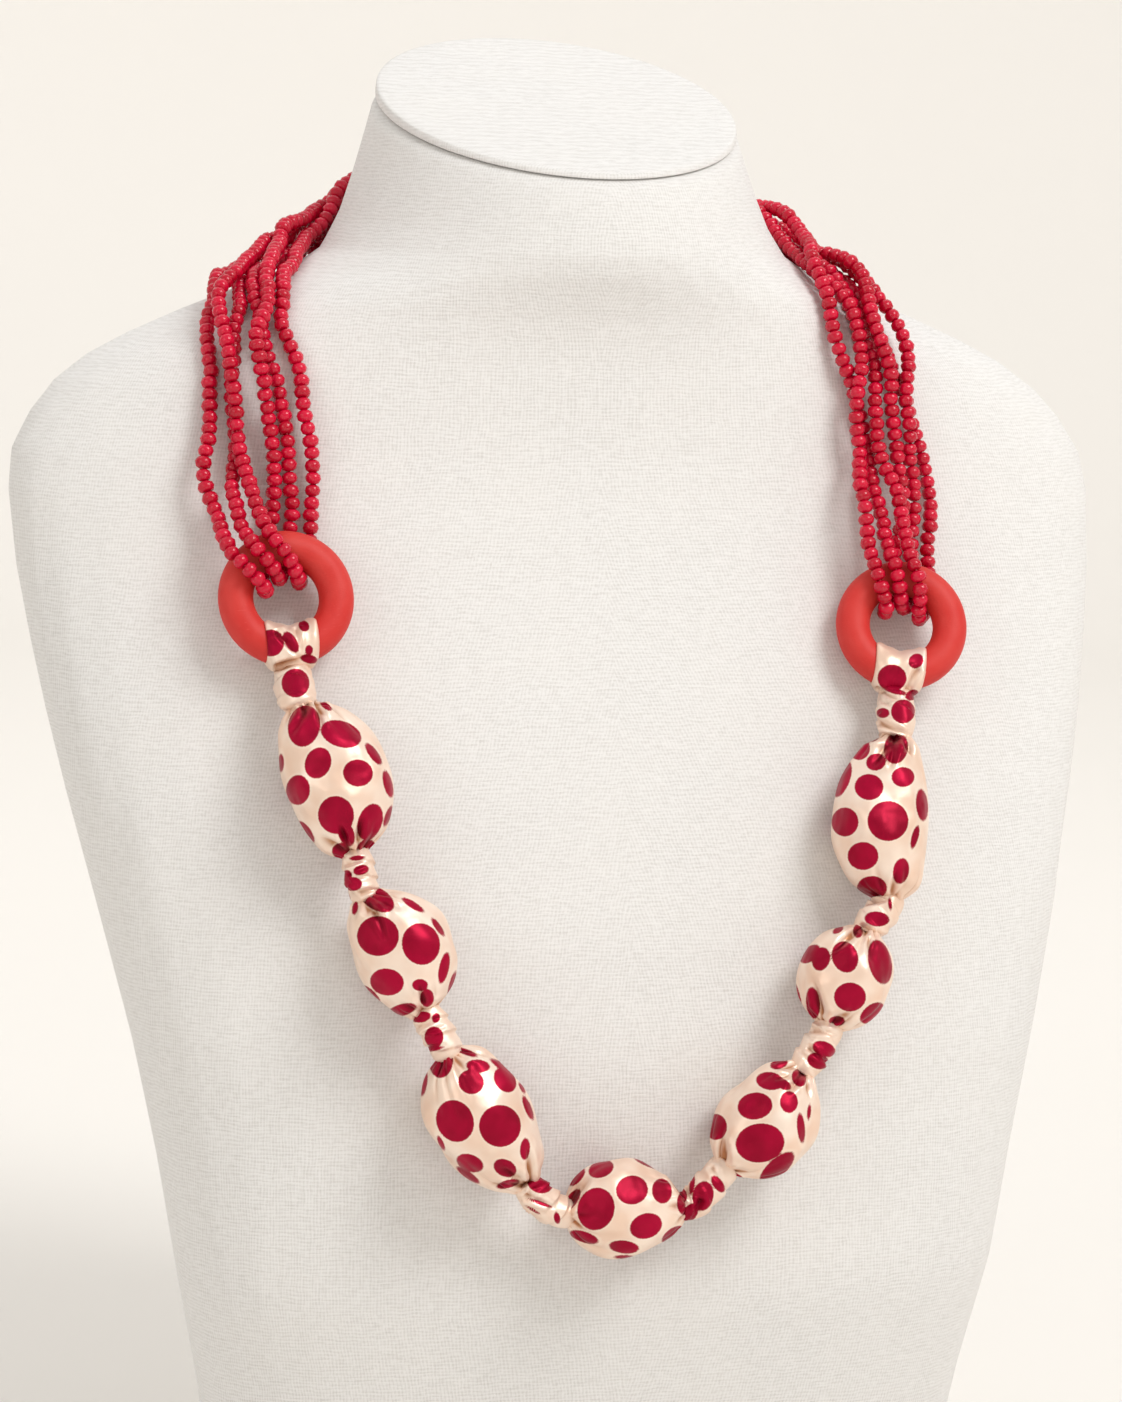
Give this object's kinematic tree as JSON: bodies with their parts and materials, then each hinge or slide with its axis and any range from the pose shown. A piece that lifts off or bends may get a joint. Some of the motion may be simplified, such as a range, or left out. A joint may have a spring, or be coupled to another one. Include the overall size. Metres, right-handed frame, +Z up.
{
  "type": "beaded necklace on neck bust",
  "caption": "Long necklace of spotted satin-covered beads hung from round rings, with strands of small glass beads round the back, laid on a plain linen-covered neck bust",
  "frame": {"origin": "middle of the bust's flat underside, on its left-right middle plane, level with the middle plane that the chest and back depths are measured from", "axes": "+Z up the bust to the neck, -Y out of the chest towards the viewer, +X to the viewer's right"},
  "size_m": [0.2852, 0.1698, 0.3676],
  "materials": {
    "linen": "fine plain-weave off-white linen, stretched over the bust",
    "satin": "soft cream satin with scattered crimson dots",
    "ring": "matte warm red, finely brushed",
    "bead": "glossy opaque crimson glass"
  },
  "bodies": {
    "root": {"bust_body": "linen", "bust_neck_cap": "linen", "cover_left_top": "satin", "cover_left_middle": "satin", "cover_left_low": "satin", "cover_centre": "satin", "cover_right_low": "satin", "cover_right_middle": "satin", "cover_right_top": "satin", "knot_left_upper": "satin", "knot_left_lower": "satin", "knot_centre_left": "satin", "knot_centre_right": "satin", "knot_right_lower": "satin", "knot_right_upper": "satin", "ring_left": "ring", "ring_right": "ring", "ring_loop_left": "satin", "ring_loop_right": "satin", "bead_loop_1": "bead", "bead_loop_2": "bead", "bead_loop_3": "bead"}
  },
  "joints": []
}
